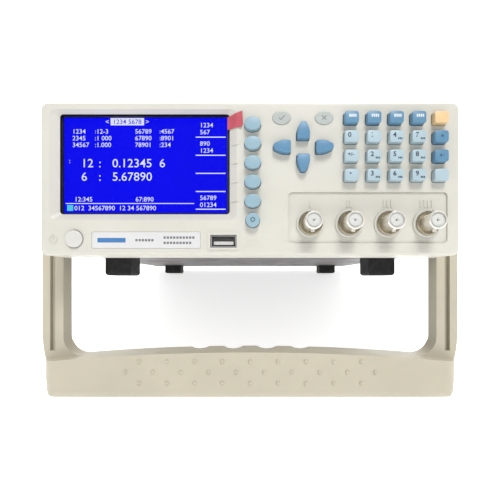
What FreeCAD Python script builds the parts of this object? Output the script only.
import FreeCAD, Part
import math
import os
from FreeCAD import Vector

# A bench LCR meter standing on its swivel handle and its rear feet, in millimetres.
# Every piece is drawn level, in the case's own axes: X to the right, Y rearwards from the
# front face, Z up from the middle of the case.  stand_up() then leans the finished
# pieces back, so that the handle's grip and the rear feet rest on the plane Z = 0.

X_AXIS = Vector(1, 0, 0)
Y_AXIS = Vector(0, 1, 0)
Z_AXIS = Vector(0, 0, 1)
SIDES = (-1, 1)
FIT_GAP = 0.05                                  # round a shank or a stem that a hole holds

# ---- front bezel -----------------------------------------------------------------------
BEZEL_HALF_W = 118.6
BEZEL_Z = (-43.0, 43.7)                         # bottom and top
BEZEL_DEPTH = 24.0
BEZEL_CORNER = 4.0
RIM_ROUND = 1.6
FACE_WALL = 5.0
SKIRT_WALL = 2.5

# ---- display ---------------------------------------------------------------------------
RECESS_DEPTH = 3.0
RECESS_OUTER = (-113.4, -7.5, -22.9, 39.7)      # x0, x1, z0, z1 at the face
RECESS_INNER = (-108.8, -11.6, -19.3, 38.0)     # the same at the window
RECESS_CORNER = 2.0
SCREEN = (-107.6, -13.2, -18.3, 37.1)           # lit area
WINDOW_LEDGE = 1.2
WINDOW_THICK = 1.2
MASK_THICK = 1.2
MODULE_THICK = 5.0
MODULE_RIM = (4.0, 4.5, 3.0)                    # past the lit area at the left, the right, top and bottom
MODULE_BOARD_DROP = 2.0                         # how far its board reaches below it
FILM_THICK = 0.25
FILM_LIFT = 0.15
FILM_OUT = 3.6                                  # how far the tab stands past the recess's edge
FILM_Z = (28.0, 39.0)

# ---- keys ------------------------------------------------------------------------------
KEY_PROUD = 4.4
KEY_GAP = 0.3
KEY_LIP = 0.8
KEY_LIP_THICK = 1.0
KEY_LIP_GAP = 0.2
KEY_TRAVEL = 1.0
KEY_EDGE = 0.5
KEY_CROWN_R = 22.0
SOFT_KEY_W = 9.2
SOFT_KEY_H = 7.4
SOFT_KEY_X = 1.5
SOFT_KEY_TOP = 30.3
SOFT_KEY_PITCH = 10.75
SOFT_KEY_COUNT = 5
TICK_REACH = (2.9, 0.9)                         # of the lines beside them: into the recess, and out
TICK_DEPTH = 0.35
TICK_HALF_H = 0.3
TOOL_KEY_D = 7.8
TOOL_KEY_Z = -23.4
PAD_X = 29.8
PAD_Z = 17.6
PAD_REACH = 11.9
PAD_RISE = 9.0
ARROW_LEN = 9.6
ARROW_W = 7.0
ARROW_ROUND = 0.9
ARROW_SHOULDER = 0.42                           # where its sides start to draw in
ARROW_NOSE = 0.17                               # half the blunt tip, to the whole width
ARROW_BULGE = 0.70                              # half the width midway along the taper
GRID_X = 56.6
GRID_TOP = 33.7
GRID_PITCH_X = 12.48
GRID_PITCH_Z = 10.7
GRID_KEY_W = 7.8
GRID_KEY_H = 6.6
GRID_KEY_ROUND = 1.3
GRID_NAMES = (
    ("menu_key_1", "menu_key_2", "menu_key_3", "menu_key_4", "blank_key"),
    ("key_0", "key_1", "key_4", "key_7", "escape_key"),
    ("sign_key", "key_2", "key_5", "key_8", "delete_key"),
    ("point_key", "key_3", "key_6", "key_9", "enter_key"),
)

# ---- lamps, plate, button, sockets -----------------------------------------------------
LENS_X = (17.8, 41.8)
LENS_Z = 34.6
LENS_W = 10.4
LENS_H = 7.6
LENS_PROUD = 0.6
LENS_EDGE = 0.4
LENS_RIM = 0.8
SOCKET_PANEL = (21.7, 111.6, -36.1, -7.2)
SOCKET_PANEL_DEPTH = 1.0
SOCKET_PANEL_CORNER = 2.4
SOCKET_X = 34.1
SOCKET_PITCH = 22.0
SOCKET_COUNT = 4
SOCKET_Z = -24.9
SOCKET_REACH = 14.0
SOCKET_TIP = SOCKET_PANEL_DEPTH - SOCKET_REACH
BARREL_CHAMFER = 0.3
NUT_CHAMFER = 0.5
BARREL_R = 4.8                                  # the length that a plug slides over
BARREL_FRONT = 3.6                              # how long that length is
NECK_R = 4.5                                    # behind it
BARREL_BORE_R = 4.06
BARREL_BACK = 12.0
COLLAR_R = 7.9
COLLAR_HEIGHT = 1.6
COLLAR_ROUND = 0.6
NUT_R = 6.7
NUT_THICK = 1.9
BACK_NUT_R = 7.0
BACK_NUT_THICK = 2.2
SLEEVE_R = 3.2
SLEEVE_SETBACK = 0.5
DISC_SETBACK = 0.9
CONTACT_R = 0.95
CONTACT_BORE_R = 0.4
LUG_R = 1.0
LUG_OUT = 1.1
LUG_SETBACK = 4.6
MARK_Z = -13.6                                  # raised bars that number the sockets
MARK_H = 4.0
MARK_W = 0.9
MARK_PITCH = 2.1
MARK_PROUD = 0.4
BUTTON_X = -99.3
BUTTON_Z = -33.7
BUTTON_R = 4.9
BUTTON_HOLE_R = 5.2
BUTTON_BOSS_R = 6.7
BUTTON_PROUD = 1.6
BUTTON_BACK = 5.5
STEM_R = 2.0
STEM_BACK = 13.0
SWITCH_FRONT = 9.0
SWITCH_BACK = 27.0
SWITCH_HALF_W = 6.5
SWITCH_Z = (-4.9, 7.1)                          # below and above the button
POWER_MARK_X = BUTTON_X - 12.0
POWER_MARK_Z = BUTTON_Z - 0.5
POWER_RING = (1.9, 2.4)                         # inner and outer radius
POWER_RING_GAP = 0.9                            # half the gap at its top
POWER_BAR_HALF_W = 0.25
POWER_BAR_Z = (0.4, 3.0)
POWER_MARK_PROUD = 0.35
PLATE = (-89.5, -27.9, -39.2, -29.6)
PLATE_DEPTH = 0.6
PLATE_GAP = 0.15
USB_FRAME = (-23.8, -6.3, -39.9, -29.7)
USB_OPENING = (-22.4, -7.6, -38.6, -31.4)
USB_DEPTH = 14.0
USB_GAP = 0.3
USB_WALL = 0.5
USB_SETBACK = 0.6
TONGUE_HALF_W = 5.6
TONGUE_Z = (1.7, 3.6)                           # bottom and top, from the opening's bottom
TONGUE_FRONT = 2.0

# ---- case ------------------------------------------------------------------------------
CASE_HALF_W = 115.0
CASE_HALF_H = 40.2
CASE_FRONT = 18.0
CASE_REAR = 250.0
SHEET = 1.2
SPLIT_Z = -20.0
PANEL_BACK = CASE_REAR - 3.0                    # the rear panel's outer face
REAR_THICK = 2.0
FOOT_X = 88.2
FOOT_W = 17.5
FOOT_LEN = 20.0
FRONT_FOOT_BOTTOM = -53.9
REAR_FOOT_BOTTOM = -49.0
FOOT_ROUND = 2.0
FRONT_FOOT_Y = 40.0
REAR_FOOT_Y = 220.0
POST_R = 3.0
POST_X = (-98.0, 52.0)
POST_Y = (42.0, 228.0)
TOP_VENT_X = range(-90, 91, 9)
TOP_VENT_Y = (196.0, 226.0)
SIDE_VENT_Y = range(110, 231, 10)
SIDE_VENT_Z = (-6.0, 20.0)

# ---- boards inside ----------------------------------------------------------------------
DOME_FRONT = FACE_WALL + KEY_LIP_GAP + KEY_LIP_THICK + KEY_TRAVEL + 0.2
KEY_BOARD_FRONT = DOME_FRONT + 1.0
BOARD_BOSSES = ((-1.5, 37.5), (49.5, 37.5), (112.0, 28.3), (49.5, 1.6), (112.0, 7.0), (-3.6, -17.5))
BOSS_R = 1.2
BOARD_THICK = 1.6
MAIN_BOARD = (-105.0, 60.0, 34.0, 236.0)        # x0, x1, y0, y1
MAIN_BOARD_Z = -30.0
# Chips and plugs on the main board: x0, x1, y0, y1 and height.
BOARD_PARTS = (
    (-60.0, -34.0, 60.0, 86.0, 6.0),
    (-20.0, 6.0, 70.0, 90.0, 5.0),
    (20.0, 40.0, 60.0, 110.0, 9.0),
    (-90.0, -70.0, 120.0, 150.0, 12.0),
    (-20.0, 12.0, 130.0, 170.0, 4.0),
)
CAPACITOR_R = 6.0
CAPACITOR_H = 20.0
CAPACITOR_Y = 205.0
CAPACITOR_X = (-50.0, -34.0, -18.0, -2.0)
TRANSFORMER_CORE = (62.0, 106.0, 150.0, 200.0, 0.0, 42.0)
TRANSFORMER_COIL = (68.0, 100.0, 140.0, 210.0, 8.0, 34.0)

# ---- rear panel and screws --------------------------------------------------------------
SCREW_R = 1.5
SCREW_HEAD_R = 2.9
SCREW_HEAD_H = 1.8
SCREW_LEN = 7.0
SLOT_DEPTH = 0.6
SLOT_W = 0.7
SLOT_LEN = 4.0
SIDE_SCREW_Y = (80.0, 200.0)
SIDE_SCREW_Z = -30.0
PANEL_SCREW_X = 108.0
PANEL_SCREW_Z = 34.0
PANEL_VENT_X = (-90.0, -40.0)
PANEL_VENT_Z = range(-12, 25, 6)
INLET_X = 80.0
INLET_W = 28.0
INLET_Z = (-8.0, 22.0)                          # bottom and top of its body
INLET_WALL = 2.0
INLET_DEPTH = 24.0
INLET_RIM = 3.0
INLET_RIM_THICK = 2.5
INLET_CHAMBER_UP = 1.6
INLET_CEILING = 2.4                             # between the fuse chamber and the plug's cavity
CHAMBER_H = 8.0
CHAMBER_DEPTH = 20.0
DRAWER_GAP = 0.3
DRAWER_NECK = (2.6, 2.8)                        # from the panel's outer face
DRAWER_LIP_THICK = 2.0
FUSE_R = 2.7
CAVITY_DEPTH = 16.0
PIN_OFFSETS = ((-7.0, 0.0), (0.0, 3.5), (7.0, 0.0))
PIN_SETBACK = 6.0
GROUND_X = 40.0
GROUND_Z = -22.0
GROUND_R = 2.0
GROUND_LEN = 14.0
GROUND_INSIDE = 8.0
GROUND_NUT_FLATS = 7.0
GROUND_NUT_H = 3.2
VENT_W = 2.5

# ---- handle ----------------------------------------------------------------------------
PIVOT_Y = 42.0
HUB_R = 14.0
HUB_GAP = 0.4                                   # between each hub and the case
ARM_INNER = 119.1
ARM_OUTER = 132.5
ARM_FRONT = PIVOT_Y - HUB_R
ARM_BACK = 39.5
ARM_GROOVE = (124.4, 127.6)
ARM_GROOVE_DEPTH = 3.5
ARM_GROOVE_END = -102.0
GRIP_FRONT = 18.0
GRIP_BACK = 40.0
GRIP_TOP = -100.8                               # middle of the grip's rear top edge
GRIP_TOP_END = -105.0                           # the same edge beside the arms
GRIP_SLOPE = 0.02                               # how much the grip's top falls towards the front
GRIP_BOTTOM = -129.6
GRIP_ROUND = 4.0
GRIP_SIDE = 129.1                               # half the grip's width behind its rounded corners
GRIP_SIDE_ROUND = 10.0
WINDOW_CORNER = 12.0
# The right side's outline from the arm down to the bottom, as the ends and middles of three arcs.
SIDE_CURVE = (
    ((132.5, -90.0), (132.1, -98.0), (130.6, -106.5)),
    ((130.6, -106.5), (128.9, -113.5), (126.4, -121.5)),
    ((126.4, -121.5), (125.0, -126.6), (120.6, -129.6)),
)
BUMP_R = 1.2
BUMP_PITCH = 17.0
BUMP_ROWS = ((-106.9, 9), (-113.5, 10), (-120.1, 9))
FINGER_R = 13.0
FINGER_DIP = 1.8
FINGER_PITCH = 22.4
FINGER_COUNT = 4
PIVOT_BOLT_R = 3.0
PIVOT_BORE_GAP = 0.08
PIVOT_HEAD_R = 6.5
PIVOT_HEAD_H = 2.6
PIVOT_HEAD_GAP = 0.4
PIVOT_NUT_R = 6.0
PIVOT_NUT_H = 4.0
PIVOT_KEY_R = 2.0
PIVOT_KEY_DEPTH = 1.6


# ---- small helpers ---------------------------------------------------------------------
def block(x0, x1, y0, y1, z0, z1):
    return Part.makeBox(x1 - x0, y1 - y0, z1 - z0, Vector(x0, y0, z0))


def rod_y(x, z, radius, y0, y1):
    return Part.makeCylinder(radius, y1 - y0, Vector(x, y0, z), Y_AXIS)


def rod_x(y, z, radius, x0, x1):
    return Part.makeCylinder(radius, x1 - x0, Vector(x0, y, z), X_AXIS)


def mirrored_rods(y, z, radius, inner, outer):
    """A rod along X on each side, as far out on the left as on the right."""
    rods = []
    for side in SIDES:
        ends = sorted((side * inner, side * outer))
        rods.append(rod_x(y, z, radius, ends[0], ends[1]))
    return rods


def rod_z(x, y, radius, z0, z1):
    return Part.makeCylinder(radius, z1 - z0, Vector(x, y, z0), Z_AXIS)


def edges_along(shape, axis):
    straight = [edge for edge in shape.Edges if isinstance(edge.Curve, Part.Line)]
    return [edge for edge in straight if edge.tangentAt(edge.FirstParameter).cross(axis).Length < 1e-6]


def edges_in_front_of(shape, y):
    return [edge for edge in shape.Edges if edge.BoundBox.YMax < y]


def rounded_block(x0, x1, y0, y1, z0, z1, radius):
    """A block whose four edges along Y are rounded."""
    solid = block(x0, x1, y0, y1, z0, z1)
    return solid.makeFillet(radius, edges_along(solid, Y_AXIS))


def rounded_wire(x0, x1, z0, z1, radius, y):
    """The outline of a rounded rectangle that faces along Y."""
    front = rounded_block(x0, x1, y, y + 1, z0, z1, radius)
    faces = [face for face in front.Faces if face.BoundBox.YMax < y + 0.5]
    return faces[0].OuterWire


def prism_z(points, z0, z1):
    """A polygon given in X and Y, raised from z0 to z1."""
    corners = [Vector(x, y, z0) for x, y in points]
    outline = Part.makePolygon(corners + corners[:1])
    return Part.Face(outline).extrude(Vector(0, 0, z1 - z0))


def prism_x(points, x0, x1):
    """A polygon given in Y and Z, drawn out from x0 to x1."""
    corners = [Vector(x0, y, z) for y, z in points]
    outline = Part.makePolygon(corners + corners[:1])
    return Part.Face(outline).extrude(Vector(x1 - x0, 0, 0))


def hex_nut_y(x, z, flats, y0, y1):
    """A hexagon across its flats, drawn along Y."""
    reach = flats / math.sqrt(3)
    corners = []
    for index in range(7):
        turn = math.radians(60 * index)
        corners.append(Vector(x + reach * math.cos(turn), y0, z + reach * math.sin(turn)))
    return Part.Face(Part.makePolygon(corners)).extrude(Vector(0, y1 - y0, 0))


def joined(solids):
    whole = solids[0].fuse(solids[1:]) if len(solids) > 1 else solids[0]
    return whole.removeSplitter()


def group(solids):
    return Part.makeCompound(solids)


# ---- key outlines: each makes a prism, grown all round by `grow` -------------------------
def oval_outline(x, z, width, height):
    def prism(grow, y0, y1):
        ring = Part.Ellipse(Vector(x, y0, z), width / 2 + grow, height / 2 + grow)
        ring.rotate(FreeCAD.Placement(Vector(x, y0, z), FreeCAD.Rotation(X_AXIS, 90), Vector(0, 0, 0)))
        return Part.Face(Part.Wire(ring.toShape())).extrude(Vector(0, y1 - y0, 0))
    return prism


def round_outline(x, z, diameter):
    def prism(grow, y0, y1):
        return rod_y(x, z, diameter / 2 + grow, y0, y1)
    return prism


def brick_outline(x, z, width, height, radius):
    def prism(grow, y0, y1):
        across = width / 2 + grow
        up = height / 2 + grow
        return rounded_block(x - across, x + across, y0, y1, z - up, z + up, radius + grow)
    return prism


def arrow_outline(x, z, angle):
    """A bullet shape: square at its inner end, pointed at its outer end, pointing up at angle 0."""
    def prism(grow, y0, y1):
        half = ARROW_W / 2 + grow
        tail = -ARROW_LEN / 2 - grow
        tip = ARROW_LEN / 2 + grow
        shoulder = tail + ARROW_SHOULDER * (tip - tail)
        nose = ARROW_NOSE * ARROW_W
        bulge_x = ARROW_BULGE * half
        bulge_z = (shoulder + tip) / 2 + 0.05 * ARROW_LEN
        right = Vector(half, y0, shoulder)
        left = Vector(-half, y0, shoulder)
        edges = [
            Part.LineSegment(Vector(-half, y0, tail), Vector(half, y0, tail)),
            Part.LineSegment(Vector(half, y0, tail), right),
            Part.Arc(right, Vector(bulge_x, y0, bulge_z), Vector(nose, y0, tip)),
            Part.LineSegment(Vector(nose, y0, tip), Vector(-nose, y0, tip)),
            Part.Arc(Vector(-nose, y0, tip), Vector(-bulge_x, y0, bulge_z), left),
            Part.LineSegment(left, Vector(-half, y0, tail)),
        ]
        face = Part.Face(Part.Wire([edge.toShape() for edge in edges]))
        solid = face.extrude(Vector(0, y1 - y0, 0))
        upright = edges_along(solid, Y_AXIS)
        ends = [edge for edge in upright if abs(edge.CenterOfMass.z - shoulder) > 0.1]
        solid = solid.makeFillet(ARROW_ROUND, ends)
        solid.rotate(Vector(0, 0, 0), Y_AXIS, angle)
        solid.translate(Vector(x, 0, z))
        return solid
    return prism


def key_outlines():
    """The name and outline of each of the thirty keys."""
    outlines = {}
    for row in range(SOFT_KEY_COUNT):
        z = SOFT_KEY_TOP - row * SOFT_KEY_PITCH
        outlines["soft_key_%d" % (row + 1)] = oval_outline(SOFT_KEY_X, z, SOFT_KEY_W, SOFT_KEY_H)
    outlines["tool_key"] = round_outline(SOFT_KEY_X, TOOL_KEY_Z, TOOL_KEY_D)
    outlines["up_key"] = arrow_outline(PAD_X, PAD_Z + PAD_RISE, 0)
    outlines["right_key"] = arrow_outline(PAD_X + PAD_REACH, PAD_Z, 90)
    outlines["down_key"] = arrow_outline(PAD_X, PAD_Z - PAD_RISE, 180)
    outlines["left_key"] = arrow_outline(PAD_X - PAD_REACH, PAD_Z, 270)
    for row, names in enumerate(GRID_NAMES):
        for column, name in enumerate(names):
            x = GRID_X + column * GRID_PITCH_X
            z = GRID_TOP - row * GRID_PITCH_Z
            outlines[name] = brick_outline(x, z, GRID_KEY_W, GRID_KEY_H, GRID_KEY_ROUND)
    return outlines


def key_cap(outline):
    """A hard cap with a shallow crown, and a lip that keeps it behind the face."""
    lip_front = FACE_WALL + KEY_LIP_GAP
    cap = outline(0, -KEY_PROUD, lip_front)
    box = cap.BoundBox
    crown_centre = Vector(box.Center.x, -KEY_PROUD + KEY_CROWN_R, box.Center.z)
    cap = cap.common(Part.makeSphere(KEY_CROWN_R, crown_centre))
    cap = cap.makeFillet(KEY_EDGE, edges_in_front_of(cap, -1.0))
    lip = outline(KEY_LIP, lip_front, lip_front + KEY_LIP_THICK)
    return joined([cap, lip])


# ---- front bezel and what is seen in it --------------------------------------------------
def socket_places():
    return [SOCKET_X + index * SOCKET_PITCH for index in range(SOCKET_COUNT)]


def recess_cutter():
    outer = rounded_wire(*RECESS_OUTER, RECESS_CORNER + 1.5, -0.01)
    inner = rounded_wire(*RECESS_INNER, RECESS_CORNER, RECESS_DEPTH)
    return Part.makeLoft([outer, inner], True)


def tick_mark_cutters():
    """Short engraved lines that lead from the display to each soft key."""
    edge = RECESS_OUTER[1]
    slope = RECESS_DEPTH / (edge - RECESS_INNER[1])
    x_in = edge - TICK_REACH[0]
    x_out = edge + TICK_REACH[1]
    depth_in = TICK_REACH[0] * slope
    cut = TICK_DEPTH
    profile = ((x_in, depth_in - 1), (x_in, depth_in + cut), (edge, cut), (x_out, cut), (x_out, -1))
    cutters = []
    for row in range(SOFT_KEY_COUNT):
        z = SOFT_KEY_TOP - row * SOFT_KEY_PITCH
        cutters.append(prism_z(profile, z - TICK_HALF_H, z + TICK_HALF_H))
    return cutters


def front_bezel():
    half_w = BEZEL_HALF_W
    z0, z1 = BEZEL_Z
    body = rounded_block(-half_w, half_w, 0, BEZEL_DEPTH, z0, z1, BEZEL_CORNER)
    body = body.makeFillet(RIM_ROUND, edges_in_front_of(body, 0.1))
    inside_w = half_w - SKIRT_WALL
    inside_z = (z0 + SKIRT_WALL, z1 - SKIRT_WALL)
    hollow = rounded_block(-inside_w, inside_w, FACE_WALL, BEZEL_DEPTH + 1, *inside_z, 2.0)
    body = body.cut(hollow)
    bosses = [rod_y(x, z, BOSS_R, FACE_WALL - 0.5, KEY_BOARD_FRONT) for x, z in BOARD_BOSSES]
    bosses.append(rod_y(BUTTON_X, BUTTON_Z, BUTTON_BOSS_R, FACE_WALL - 0.5, SWITCH_FRONT))
    frame = rounded_block(USB_FRAME[0], USB_FRAME[1], -0.5, 1, USB_FRAME[2], USB_FRAME[3], 1.5)
    body = joined([body, frame] + bosses)
    cutters = [recess_cutter()]
    x0, x1, z0, z1 = RECESS_INNER
    ledge = WINDOW_LEDGE + 0.1
    cutters.append(block(x0 - ledge, x1 + ledge, RECESS_DEPTH, FACE_WALL + 1, z0 - ledge, z1 + ledge))
    cutters += tick_mark_cutters()
    for outline in key_outlines().values():
        cutters.append(outline(KEY_GAP, -1, FACE_WALL + 1))
    for x in LENS_X:
        cutters.append(oval_outline(x, LENS_Z, LENS_W, LENS_H)(FIT_GAP, -1, FACE_WALL + 1))
    x0, x1, z0, z1 = SOCKET_PANEL
    cutters.append(rounded_block(x0, x1, -1, SOCKET_PANEL_DEPTH, z0, z1, SOCKET_PANEL_CORNER))
    for x in socket_places():
        cutters.append(rod_y(x, SOCKET_Z, NECK_R + FIT_GAP, -1, FACE_WALL + 1))
    x0, x1, z0, z1 = PLATE
    cutters.append(rounded_block(x0, x1, -1, PLATE_DEPTH, z0, z1, 1.0))
    x0, x1, z0, z1 = USB_OPENING
    cutters.append(block(x0, x1, -1, FACE_WALL + 1, z0, z1))
    cutters.append(rod_y(BUTTON_X, BUTTON_Z, BUTTON_HOLE_R, -1, SWITCH_FRONT + 1))
    body = body.cut(cutters)
    return joined([body] + socket_collars() + terminal_marks() + [power_mark()])


def socket_collars():
    """A raised ring of the face's own plastic round each socket."""
    collars = []
    for x in socket_places():
        front = SOCKET_PANEL_DEPTH - COLLAR_HEIGHT
        ring = rod_y(x, SOCKET_Z, COLLAR_R, front, SOCKET_PANEL_DEPTH + 0.5)
        ring = ring.makeFillet(COLLAR_ROUND, edges_in_front_of(ring, front + 0.1))
        collars.append(ring.cut(rod_y(x, SOCKET_Z, NECK_R + FIT_GAP, front - 1, FACE_WALL)))
    return collars


def terminal_marks():
    """One to four small raised bars above the sockets number them from left to right."""
    marks = []
    for index, x in enumerate(socket_places()):
        count = index + 1
        for bar in range(count):
            centre = x + (bar - (count - 1) / 2) * MARK_PITCH
            low = (centre - MARK_W / 2, SOCKET_PANEL_DEPTH - MARK_PROUD, MARK_Z - MARK_H / 2)
            high = (centre + MARK_W / 2, SOCKET_PANEL_DEPTH + MARK_PROUD, MARK_Z + MARK_H / 2)
            marks.append(block(low[0], high[0], low[1], high[1], low[2], high[2]))
    return marks


def power_mark():
    """The usual on and standby sign, raised on the face: an open ring and a bar."""
    x = POWER_MARK_X
    z = POWER_MARK_Z
    front = -POWER_MARK_PROUD
    back = 0.3
    ring = rod_y(x, z, POWER_RING[1], front, back).cut(rod_y(x, z, POWER_RING[0], -1, 1))
    ring = ring.cut(block(x - POWER_RING_GAP, x + POWER_RING_GAP, -1, 1, z, z + 2 * POWER_RING[1]))
    half = POWER_BAR_HALF_W
    bar = block(x - half, x + half, front, back, z + POWER_BAR_Z[0], z + POWER_BAR_Z[1])
    return group([ring, bar])


def display_window():
    x0, x1, z0, z1 = RECESS_INNER
    ledge = WINDOW_LEDGE
    back = RECESS_DEPTH + WINDOW_THICK
    return rounded_block(x0 - ledge, x1 + ledge, RECESS_DEPTH, back, z0 - ledge, z1 + ledge, 0.8)


def display_mask():
    x0, x1, z0, z1 = RECESS_INNER
    front = RECESS_DEPTH + WINDOW_THICK
    back = front + MASK_THICK
    ledge = WINDOW_LEDGE
    plate = block(x0 - ledge, x1 + ledge, front, back, z0 - ledge, z1 + ledge)
    return plate.cut(rounded_block(SCREEN[0], SCREEN[1], front - 1, back + 1, SCREEN[2], SCREEN[3], 0.3))


def display_module():
    front = RECESS_DEPTH + WINDOW_THICK + MASK_THICK
    middle = front + MODULE_THICK
    left, right, rim = MODULE_RIM
    x0 = SCREEN[0] - left
    x1 = SCREEN[1] + right
    z0 = SCREEN[2] - rim
    z1 = SCREEN[3] + rim
    panel = block(x0, x1, front, middle, z0, z1)
    board = block(x0, x1, middle, middle + BOARD_THICK, z0 - MODULE_BOARD_DROP, z1)
    return joined([panel, board])


def display_film_tab():
    """The pull tab of the window's protective film, bent up the recess's slope."""
    x_in = RECESS_INNER[1] - 1.2
    x_edge = RECESS_OUTER[1]
    tip = x_edge + FILM_OUT
    path = (
        (x_in, RECESS_DEPTH - FILM_LIFT),
        (RECESS_INNER[1] - 0.2, RECESS_DEPTH - FILM_LIFT),
        (x_edge - 0.1, -FILM_LIFT - 0.1),
        (tip, -FILM_LIFT - 0.9),
    )
    front = [(x - FILM_THICK / 2, y - FILM_THICK) for x, y in path]
    strip = prism_z(tuple(path) + tuple(reversed(front)), *FILM_Z)
    corners = ((x_in - 1, 36.0), (tip - 0.4, 38.2), (tip, 30.6), (tip - 1.1, 29.3), (x_in - 1, 29.0))
    points = [Vector(x, -3, z) for x, z in corners]
    outline = Part.Face(Part.makePolygon(points + points[:1])).extrude(Vector(0, 9, 0))
    return strip.common(outline)


def name_plate():
    x0, x1, z0, z1 = PLATE
    gap = PLATE_GAP
    return rounded_block(x0 + gap, x1 - gap, gap, PLATE_DEPTH, z0 + gap, z1 - gap, 0.9)


def lamp_lenses():
    lenses = []
    for x in LENS_X:
        lens = oval_outline(x, LENS_Z, LENS_W, LENS_H)(0, -LENS_PROUD, FACE_WALL)
        lens = lens.makeFillet(LENS_EDGE, edges_in_front_of(lens, 0))
        rim = oval_outline(x, LENS_Z, LENS_W, LENS_H)(LENS_RIM, FACE_WALL, FACE_WALL + 1)
        lenses.append(joined([lens, rim]))
    return group(lenses)


def power_button():
    cap = rod_y(BUTTON_X, BUTTON_Z, BUTTON_R, -BUTTON_PROUD, BUTTON_BACK)
    cap = cap.makeFillet(0.8, edges_in_front_of(cap, 0))
    stem = rod_y(BUTTON_X, BUTTON_Z, STEM_R, BUTTON_BACK, STEM_BACK)
    return joined([cap, stem])


def power_switch():
    """A latching switch; its bore takes the button's stem at full travel."""
    x0 = BUTTON_X - SWITCH_HALF_W
    x1 = BUTTON_X + SWITCH_HALF_W
    body = block(x0, x1, SWITCH_FRONT, SWITCH_BACK, BUTTON_Z + SWITCH_Z[0], BUTTON_Z + SWITCH_Z[1])
    return body.cut(rod_y(BUTTON_X, BUTTON_Z, STEM_R + FIT_GAP, SWITCH_FRONT - 1, STEM_BACK + 4))


# ---- sockets on the front ------------------------------------------------------------------
def bnc_shell(x):
    front = rod_y(x, SOCKET_Z, BARREL_R, SOCKET_TIP, SOCKET_TIP + BARREL_FRONT)
    front = front.makeChamfer(BARREL_CHAMFER, edges_in_front_of(front, SOCKET_TIP + 0.1))
    neck = rod_y(x, SOCKET_Z, NECK_R, SOCKET_TIP + BARREL_FRONT, BARREL_BACK)
    reach = BARREL_R + LUG_OUT
    lugs = rod_z(x, SOCKET_TIP + LUG_SETBACK, LUG_R, SOCKET_Z - reach, SOCKET_Z + reach)
    back_nut = rod_y(x, SOCKET_Z, BACK_NUT_R, FACE_WALL, FACE_WALL + BACK_NUT_THICK)
    shell = joined([front, neck, lugs, back_nut])
    return shell.cut(rod_y(x, SOCKET_Z, BARREL_BORE_R, SOCKET_TIP - 1, BARREL_BACK + 1))


def bnc_nut(x):
    back = SOCKET_PANEL_DEPTH - COLLAR_HEIGHT
    front = back - NUT_THICK
    ring = rod_y(x, SOCKET_Z, NUT_R, front, back)
    ring = ring.makeChamfer(NUT_CHAMFER, edges_in_front_of(ring, front + 0.1))
    return ring.cut(rod_y(x, SOCKET_Z, NECK_R, front - 1, back + 1))


def bnc_insulator(x):
    """White dielectric: a sleeve round the contact, standing on a disc that fills the bore."""
    sleeve = rod_y(x, SOCKET_Z, SLEEVE_R, SOCKET_TIP + SLEEVE_SETBACK, SOCKET_TIP + DISC_SETBACK + 1)
    disc = rod_y(x, SOCKET_Z, BARREL_BORE_R, SOCKET_TIP + DISC_SETBACK, BARREL_BACK - 1)
    return joined([sleeve, disc]).cut(rod_y(x, SOCKET_Z, CONTACT_R, SOCKET_TIP - 1, BARREL_BACK))


def bnc_contact(x):
    """A tube that takes the plug's pin, and stands out behind for its wire."""
    tube = rod_y(x, SOCKET_Z, CONTACT_R, SOCKET_TIP + SLEEVE_SETBACK + 0.3, BARREL_BACK + 2)
    return tube.cut(rod_y(x, SOCKET_Z, CONTACT_BORE_R, SOCKET_TIP, FACE_WALL))


def usb_shell():
    x0, x1, z0, z1 = USB_OPENING
    gap = USB_GAP
    tube = rounded_block(x0 + gap, x1 - gap, USB_SETBACK, USB_DEPTH, z0 + gap, z1 - gap, 0.5)
    gap += USB_WALL
    return tube.cut(block(x0 + gap, x1 - gap, 0, USB_DEPTH - USB_WALL, z0 + gap, z1 - gap))


def usb_tongue():
    x0, x1, z0, z1 = USB_OPENING
    centre = (x0 + x1) / 2
    back = USB_DEPTH - USB_WALL
    low, high = TONGUE_Z
    blade = block(centre - TONGUE_HALF_W, centre + TONGUE_HALF_W, TONGUE_FRONT, back, z0 + low, z0 + high)
    inset = USB_GAP + USB_WALL
    root = block(x0 + inset, x1 - inset, back - 2.5, back, z0 + inset, z1 - inset)
    return joined([blade, root])


# ---- boards inside -------------------------------------------------------------------------
def board_outline(y0, y1):
    column = block(-5.0, 14.0, y0, y1, -28.5, 39.5)
    field = block(14.0, 114.0, y0, y1, -4.5, 39.5)
    return joined([column, field])


def dome_sheet():
    """Silicone sheet with a sprung dome behind each key."""
    sheet = board_outline(DOME_FRONT, KEY_BOARD_FRONT)
    holes = [rod_y(x, z, BOSS_R + 0.1, DOME_FRONT - 1, KEY_BOARD_FRONT + 1) for x, z in BOARD_BOSSES]
    return sheet.cut(holes)


def key_board():
    return board_outline(KEY_BOARD_FRONT, KEY_BOARD_FRONT + BOARD_THICK)


def main_board():
    top = MAIN_BOARD_Z + BOARD_THICK
    board = block(*MAIN_BOARD, MAIN_BOARD_Z, top)
    parts = [block(x0, x1, y0, y1, top, top + height) for x0, x1, y0, y1, height in BOARD_PARTS]
    capacitors = [rod_z(x, CAPACITOR_Y, CAPACITOR_R, top, top + CAPACITOR_H) for x in CAPACITOR_X]
    return joined([board] + parts + capacitors)


def transformer():
    solids = []
    for x0, x1, y0, y1, z0, z1 in (TRANSFORMER_CORE, TRANSFORMER_COIL):
        floor = -CASE_HALF_H + SHEET
        solids.append(block(x0, x1, y0, y1, floor + z0, floor + z1))
    return joined(solids)


# ---- case --------------------------------------------------------------------------------
def pivot_bores():
    return mirrored_rods(PIVOT_Y, 0, PIVOT_BOLT_R + FIT_GAP, CASE_HALF_W - 5, CASE_HALF_W + 5)


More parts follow.
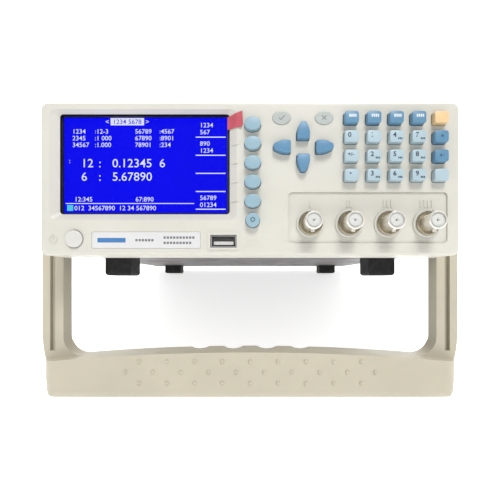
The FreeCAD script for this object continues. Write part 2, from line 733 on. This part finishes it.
def case_shell(z0, z1):
    """The sheet-metal tube, open at both ends, from z0 to z1 of its height."""
    half_w = CASE_HALF_W
    half_h = CASE_HALF_H
    tube = rounded_block(-half_w, half_w, CASE_FRONT, CASE_REAR, -half_h, half_h, 2.0)
    inner_w = half_w - SHEET
    inner_h = half_h - SHEET
    tube = tube.cut(block(-inner_w, inner_w, CASE_FRONT - 1, CASE_REAR + 1, -inner_h, inner_h))
    return tube.common(block(-half_w, half_w, CASE_FRONT, CASE_REAR, z0, z1))


def top_cover():
    half = VENT_W / 2
    slots = []
    for x in TOP_VENT_X:
        slots.append(block(x - half, x + half, *TOP_VENT_Y, CASE_HALF_H - 4, CASE_HALF_H + 1))
    for side in SIDES:
        x = side * CASE_HALF_W
        for y in SIDE_VENT_Y:
            slots.append(block(x - 3, x + 3, y - half, y + half, *SIDE_VENT_Z))
    return case_shell(SPLIT_Z, CASE_HALF_H).cut(slots + pivot_bores())


def bottom_tray():
    tray = case_shell(-CASE_HALF_H, SPLIT_Z - 0.3)
    posts = [rod_z(x, y, POST_R, -CASE_HALF_H + SHEET / 2, MAIN_BOARD_Z) for x in POST_X for y in POST_Y]
    holes = []
    for y in SIDE_SCREW_Y:
        holes += mirrored_rods(y, SIDE_SCREW_Z, SCREW_R + FIT_GAP, CASE_HALF_W - 3, CASE_HALF_W + 3)
    return joined([tray] + posts).cut(holes)


def panel_screw_places():
    return [(x, z) for x in (-PANEL_SCREW_X, PANEL_SCREW_X) for z in (-PANEL_SCREW_Z, PANEL_SCREW_Z)]


def rear_panel():
    front = PANEL_BACK - REAR_THICK
    gap = 0.2
    half_w = CASE_HALF_W - SHEET - gap
    half_h = CASE_HALF_H - SHEET - gap
    panel = block(-half_w, half_w, front, PANEL_BACK, -half_h, half_h)
    through = (front - 1, PANEL_BACK + 1)
    holes = [block(INLET_X - INLET_W / 2, INLET_X + INLET_W / 2, *through, *INLET_Z)]
    holes.append(rod_y(GROUND_X, GROUND_Z, GROUND_R + FIT_GAP, *through))
    for x, z in panel_screw_places():
        holes.append(rod_y(x, z, SCREW_R + FIT_GAP, *through))
    for z in PANEL_VENT_Z:
        holes.append(block(*PANEL_VENT_X, *through, z - VENT_W / 2, z + VENT_W / 2))
    return panel.cut(holes)


def mains_inlet():
    """Three-pin appliance inlet with a fuse drawer's chamber below it."""
    back = PANEL_BACK
    gap = 0.2
    x0 = INLET_X - INLET_W / 2
    x1 = INLET_X + INLET_W / 2
    z0, z1 = INLET_Z
    rim = INLET_RIM
    flange = rounded_block(x0 - rim, x1 + rim, back, back + INLET_RIM_THICK, z0 - rim, z1 + rim, 2.0)
    body = block(x0 + gap, x1 - gap, back - INLET_DEPTH, back, z0 + gap, z1 - gap)
    ceiling = z0 + INLET_CHAMBER_UP + CHAMBER_H
    cavity_low = ceiling + INLET_CEILING
    cavity_top = z1 - INLET_WALL
    cavity_x = (x0 + INLET_WALL, x1 - INLET_WALL)
    cavity = block(*cavity_x, back - CAVITY_DEPTH, back + 3, cavity_low, cavity_top)
    chamber = block(x0 + rim, x1 - rim, back - CHAMBER_DEPTH, back + 3, z0 + INLET_CHAMBER_UP, ceiling)
    whole = joined([flange, body]).cut([cavity, chamber])
    pins = []
    centre_z = (cavity_low + cavity_top) / 2 - 1.5
    for offset_x, offset_z in PIN_OFFSETS:
        x = INLET_X + offset_x
        z = centre_z + offset_z
        pins.append(block(x - 1, x + 1, back - CAVITY_DEPTH - 1, back - PIN_SETBACK, z - 2, z + 2))
    return joined([whole] + pins)


def fuse_drawer():
    """Pulls straight out of the chamber under the inlet."""
    back = PANEL_BACK
    x0 = INLET_X - INLET_W / 2 + INLET_RIM
    x1 = INLET_X + INLET_W / 2 - INLET_RIM
    z0 = INLET_Z[0] + INLET_CHAMBER_UP
    gap = DRAWER_GAP
    top = z0 + CHAMBER_H
    neck_y = (back + DRAWER_NECK[0], back + DRAWER_NECK[1])
    tray = block(x0 + gap, x1 - gap, back - CHAMBER_DEPTH + 1, neck_y[0], z0 + gap, top - gap)
    trough = rod_y(INLET_X, top - gap, FUSE_R, back - CHAMBER_DEPTH + 2, back - 1)
    lip = rounded_block(x0 - 1, x1 + 1, neck_y[1], neck_y[1] + DRAWER_LIP_THICK, z0 - 0.5, top + 0.5, 1.0)
    neck = block(x0 + 2, x1 - 2, *neck_y, z0 + 1, top - 1)
    return joined([tray.cut(trough), neck, lip])


def ground_stud():
    """Threaded earth stud with its hexagon nuts, for a ring terminal."""
    back = PANEL_BACK
    stud = rod_y(GROUND_X, GROUND_Z, GROUND_R, back - GROUND_INSIDE, back + GROUND_LEN)
    outer_end = [edge for edge in stud.Edges if edge.BoundBox.YMin > back + GROUND_LEN - 0.5]
    stud = stud.makeChamfer(0.4, outer_end)
    nuts = [hex_nut_y(GROUND_X, GROUND_Z, GROUND_NUT_FLATS, back, back + GROUND_NUT_H)]
    inside = back - REAR_THICK
    nuts.append(hex_nut_y(GROUND_X, GROUND_Z, GROUND_NUT_FLATS, inside - GROUND_NUT_H, inside))
    return joined([stud] + nuts)


def feet(y, bottom):
    """Two moulded feet, their bottom edges rounded."""
    blocks = []
    for side in SIDES:
        x = side * FOOT_X
        body = block(x - FOOT_W / 2, x + FOOT_W / 2, y, y + FOOT_LEN, bottom, -CASE_HALF_H)
        low = [edge for edge in body.Edges if edge.BoundBox.ZMax < bottom + 0.1]
        blocks.append(body.makeFillet(FOOT_ROUND, low))
    return group(blocks)


def cross_recess(y, z, x0, x1):
    """A cross slot cut along X into a side screw's head."""
    half_w = SLOT_W / 2
    half_l = SLOT_LEN / 2
    return [block(x0, x1, y - half_l, y + half_l, z - half_w, z + half_w),
            block(x0, x1, y - half_w, y + half_w, z - half_l, z + half_l)]


def case_screws():
    screws = []
    back = PANEL_BACK
    half_w = SLOT_W / 2
    half_l = SLOT_LEN / 2
    slot_y = (back + SCREW_HEAD_H - SLOT_DEPTH, back + SCREW_HEAD_H + 1)
    for x, z in panel_screw_places():
        shank = rod_y(x, z, SCREW_R, back - SCREW_LEN, back)
        head = rod_y(x, z, SCREW_HEAD_R, back, back + SCREW_HEAD_H)
        head = head.makeFillet(0.7, [edge for edge in head.Edges if edge.BoundBox.YMin > back + 1])
        recess = [block(x - half_l, x + half_l, *slot_y, z - half_w, z + half_w),
                  block(x - half_w, x + half_w, *slot_y, z - half_l, z + half_l)]
        screws.append(joined([shank, head]).cut(recess))
    wall = CASE_HALF_W
    top = wall + SCREW_HEAD_H
    for y in SIDE_SCREW_Y:
        shanks = mirrored_rods(y, SIDE_SCREW_Z, SCREW_R, wall - SCREW_LEN + 1, wall)
        heads = mirrored_rods(y, SIDE_SCREW_Z, SCREW_HEAD_R, wall, top)
        for side, shank, head in zip(SIDES, shanks, heads):
            ends = sorted((side * (top - SLOT_DEPTH), side * (top + 1)))
            screws.append(joined([shank, head]).cut(cross_recess(y, SIDE_SCREW_Z, *ends)))
    return group(screws)


# ---- handle --------------------------------------------------------------------------------
def mirrored_face(right_edges, closing_edges):
    """A face that is symmetrical about X = 0, from its right half's edges and those that close it."""
    edges = [edge.toShape() for edge in right_edges]
    edges += [edge.mirror(Vector(0, 0, 0), X_AXIS) for edge in edges]
    edges += [edge.toShape() for edge in closing_edges]
    return Part.Face(Part.Wire(Part.__sortEdges__(edges)))


def handle_front_outline():
    """The handle as seen from the front: straight arms that draw in towards the grip."""
    first_x, first_z = SIDE_CURVE[0][0]
    right = [Part.LineSegment(Vector(ARM_OUTER, 0, HUB_R), Vector(first_x, 0, first_z))]
    for arc in SIDE_CURVE:
        start, middle, end = [Vector(x, 0, z) for x, z in arc]
        right.append(Part.Arc(start, middle, end))
    bottom = Part.LineSegment(Vector(end.x, 0, end.z), Vector(-end.x, 0, end.z))
    top = Part.LineSegment(Vector(-ARM_OUTER, 0, HUB_R), Vector(ARM_OUTER, 0, HUB_R))
    return mirrored_face(right, [bottom, top])


def handle_side_outline():
    """The handle as seen from the side, with the grip's lower corners rounded."""
    edge = GRIP_ROUND
    slant = edge * (1 - math.sqrt(0.5))
    low = GRIP_BOTTOM
    lines = [
        Part.LineSegment(Vector(0, GRIP_FRONT, HUB_R), Vector(0, GRIP_FRONT, low + edge)),
        Part.Arc(Vector(0, GRIP_FRONT, low + edge), Vector(0, GRIP_FRONT + slant, low + slant),
                 Vector(0, GRIP_FRONT + edge, low)),
        Part.LineSegment(Vector(0, GRIP_FRONT + edge, low), Vector(0, GRIP_BACK - edge, low)),
        Part.Arc(Vector(0, GRIP_BACK - edge, low), Vector(0, GRIP_BACK - slant, low + slant),
                 Vector(0, GRIP_BACK, low + edge)),
        Part.LineSegment(Vector(0, GRIP_BACK, low + edge), Vector(0, GRIP_BACK, HUB_R)),
        Part.LineSegment(Vector(0, GRIP_BACK, HUB_R), Vector(0, GRIP_FRONT, HUB_R)),
    ]
    return Part.Face(Part.Wire([line.toShape() for line in lines]))


def above_grip(face, y0, y1):
    """Draws a face that lies at the grip's rear edge through y0 to y1, along the slope of its top."""
    face.translate(Vector(0, y0, (y0 - GRIP_BACK) * GRIP_SLOPE))
    return face.extrude(Vector(0, y1 - y0, (y1 - y0) * GRIP_SLOPE))


def handle_window():
    """The space between the arms, with rounded corners and a grip that rises in the middle."""
    x = ARM_INNER
    end = x - WINDOW_CORNER
    slant = WINDOW_CORNER * (1 - math.sqrt(0.5))
    low = GRIP_TOP_END
    top = HUB_R + 5
    right = [
        Part.LineSegment(Vector(x, 0, top), Vector(x, 0, low + WINDOW_CORNER)),
        Part.Arc(Vector(x, 0, low + WINDOW_CORNER), Vector(x - slant, 0, low + slant), Vector(end, 0, low)),
    ]
    grip = Part.Arc(Vector(-end, 0, low), Vector(0, 0, GRIP_TOP), Vector(end, 0, low))
    closing = [grip, Part.LineSegment(Vector(-x, 0, top), Vector(x, 0, top))]
    return above_grip(mirrored_face(right, closing), GRIP_FRONT - 5, GRIP_BACK + 5)


def arm_clearance():
    """What lies in front of the flat arms, down to the grip's rising top."""
    x = ARM_OUTER + 5
    end = ARM_INNER - WINDOW_CORNER
    top = HUB_R + 10
    rise = GRIP_TOP - GRIP_TOP_END
    radius = (end ** 2 + rise ** 2) / (2 * rise)
    low = GRIP_TOP - radius + math.sqrt(radius ** 2 - x ** 2)
    grip = Part.Arc(Vector(-x, 0, low), Vector(0, 0, GRIP_TOP), Vector(x, 0, low))
    right = [Part.LineSegment(Vector(x, 0, low), Vector(x, 0, top))]
    closing = [grip, Part.LineSegment(Vector(-x, 0, top), Vector(x, 0, top))]
    return above_grip(mirrored_face(right, closing), GRIP_FRONT - 5, ARM_FRONT)


def grip_side_cutters():
    """What rounds the grip's two front corners, as seen from above."""
    cutters = []
    reach = GRIP_SIDE_ROUND
    slant = reach * (1 - math.sqrt(0.5))
    low = GRIP_BOTTOM - 5
    for side in SIDES:
        start = Vector(side * GRIP_SIDE, GRIP_FRONT + reach, low)
        middle = Vector(side * (GRIP_SIDE - slant), GRIP_FRONT + slant, low)
        end = Vector(side * (GRIP_SIDE - reach), GRIP_FRONT, low)
        front = Vector(side * (GRIP_SIDE - reach), GRIP_FRONT - 5, low)
        far = Vector(side * (ARM_OUTER + 5), GRIP_FRONT - 5, low)
        back = Vector(side * (ARM_OUTER + 5), GRIP_FRONT + reach, low)
        edges = [Part.Arc(start, middle, end), Part.LineSegment(end, front), Part.LineSegment(front, far),
                 Part.LineSegment(far, back), Part.LineSegment(back, start)]
        face = Part.Face(Part.Wire([edge.toShape() for edge in edges]))
        cutters.append(face.extrude(Vector(0, 0, GRIP_TOP_END + 5 - low)))
    return cutters


def grip_bumps():
    """Three staggered rows of small studs on the front of the grip."""
    bumps = []
    for z, count in BUMP_ROWS:
        for index in range(count):
            x = (index - (count - 1) / 2) * BUMP_PITCH
            bumps.append(Part.makeSphere(BUMP_R, Vector(x, GRIP_FRONT, z)))
    return bumps


def handle():
    plan = handle_front_outline().extrude(Vector(0, GRIP_BACK + 5, 0))
    side = handle_side_outline()
    side.translate(Vector(-ARM_OUTER - 5, 0, 0))
    body = plan.common(side.extrude(Vector(2 * ARM_OUTER + 10, 0, 0)))
    body = body.cut([handle_window(), arm_clearance()])
    # Only the hubs stand above the pivot, and the arms are thinner than the grip.
    reach = ARM_OUTER + 1
    above = block(-reach, reach, 0, GRIP_BACK + 1, 0, HUB_R + 1)
    behind_arms = block(-reach, reach, ARM_BACK, GRIP_BACK + 1, GRIP_TOP_END + 8, 1)
    body = body.cut([above, behind_arms] + grip_side_cutters())
    hubs = mirrored_rods(PIVOT_Y, 0, HUB_R, CASE_HALF_W + HUB_GAP, ARM_OUTER)
    body = joined([body] + hubs + grip_bumps())
    cutters = mirrored_rods(PIVOT_Y, 0, PIVOT_BOLT_R + PIVOT_BORE_GAP, CASE_HALF_W - 1, ARM_OUTER + 1)
    seat = ARM_OUTER - PIVOT_HEAD_H - PIVOT_HEAD_GAP
    cutters += mirrored_rods(PIVOT_Y, 0, PIVOT_HEAD_R + PIVOT_HEAD_GAP, seat, ARM_OUTER + 1)
    for side_sign in SIDES:
        edges = sorted(side_sign * x for x in ARM_GROOVE)
        back = ARM_FRONT + ARM_GROOVE_DEPTH
        cutters.append(block(edges[0], edges[1], ARM_FRONT - 1, back, ARM_GROOVE_END, 0))
    for index in range(FINGER_COUNT):
        x = (index - (FINGER_COUNT - 1) / 2) * FINGER_PITCH
        z = GRIP_TOP + FINGER_R - FINGER_DIP
        cutters.append(rod_y(x, z, FINGER_R, ARM_FRONT + 3, GRIP_BACK + 1))
    return body.cut(cutters)


def pivot_bolts():
    """Shouldered bolts that the handle swings on, with a round drive recess in each head."""
    seat = ARM_OUTER - PIVOT_HEAD_H
    wall = CASE_HALF_W - SHEET
    heads = mirrored_rods(PIVOT_Y, 0, PIVOT_HEAD_R, seat, ARM_OUTER)
    shanks = mirrored_rods(PIVOT_Y, 0, PIVOT_BOLT_R, wall - PIVOT_NUT_H - 3, seat)
    nuts = mirrored_rods(PIVOT_Y, 0, PIVOT_NUT_R, wall - PIVOT_NUT_H, wall)
    sockets = mirrored_rods(PIVOT_Y, 0, PIVOT_KEY_R, ARM_OUTER - PIVOT_KEY_DEPTH, ARM_OUTER + 1)
    bolts = []
    for head, shank, nut, socket in zip(heads, shanks, nuts, sockets):
        bolts.append(joined([head, shank, nut]).cut(socket))
    return group(bolts)


# ---- all pieces ------------------------------------------------------------------------------
def all_pieces():
    sockets = socket_places()
    pieces = {
        "front_bezel": front_bezel(),
        "display_window": display_window(),
        "display_mask": display_mask(),
        "display_module": display_module(),
        "display_film_tab": display_film_tab(),
        "name_plate": name_plate(),
        "lamp_lenses": lamp_lenses(),
        "bnc_shells": group([bnc_shell(x) for x in sockets]),
        "bnc_nuts": group([bnc_nut(x) for x in sockets]),
        "bnc_insulators": group([bnc_insulator(x) for x in sockets]),
        "bnc_contacts": group([bnc_contact(x) for x in sockets]),
        "usb_shell": usb_shell(),
        "usb_tongue": usb_tongue(),
        "power_button": power_button(),
        "power_switch": power_switch(),
        "dome_sheet": dome_sheet(),
        "key_board": key_board(),
        "main_board": main_board(),
        "transformer": transformer(),
        "top_cover": top_cover(),
        "bottom_tray": bottom_tray(),
        "rear_panel": rear_panel(),
        "front_feet": feet(FRONT_FOOT_Y, FRONT_FOOT_BOTTOM),
        "rear_feet": feet(REAR_FOOT_Y, REAR_FOOT_BOTTOM),
        "case_screws": case_screws(),
        "mains_inlet": mains_inlet(),
        "fuse_drawer": fuse_drawer(),
        "ground_stud": ground_stud(),
        "handle": handle(),
        "pivot_bolts": pivot_bolts(),
    }
    for name, outline in key_outlines().items():
        pieces[name] = key_cap(outline)
    return pieces


def lean_angle():
    """How far the case leans back, in degrees, with its grip and its rear feet on one plane."""
    run = (REAR_FOOT_Y + FOOT_LEN - FOOT_ROUND) - (GRIP_BACK - GRIP_ROUND)
    rise = (REAR_FOOT_BOTTOM + FOOT_ROUND) - (GRIP_BOTTOM + GRIP_ROUND)
    span = math.hypot(run, rise)
    return math.degrees(math.atan2(rise, run) + math.asin((GRIP_ROUND - FOOT_ROUND) / span))


def stand_up(pieces):
    """Leans every piece back and sets the whole on Z = 0, centred on X = Y = 0."""
    lean = FreeCAD.Rotation(X_AXIS, -lean_angle())
    for shape in pieces.values():
        shape.rotate(Vector(0, 0, 0), X_AXIS, -lean_angle())
    box = group(list(pieces.values())).optimalBoundingBox(False)
    shift = Vector(-box.Center.x, -box.Center.y, -box.ZMin)
    for shape in pieces.values():
        shape.translate(shift)
    return pieces, FreeCAD.Placement(shift, lean)


os.makedirs("parts", exist_ok=True)
PIECES, CASE_TO_STAND = stand_up(all_pieces())
for piece_name, piece in PIECES.items():
    piece.exportStep("parts/%s.step" % piece_name)
    state = "ok" if piece.isValid() else "INVALID"
    print("%-18s %3d solids %10.1f mm3 %s" % (piece_name, len(piece.Solids), piece.Volume, state))
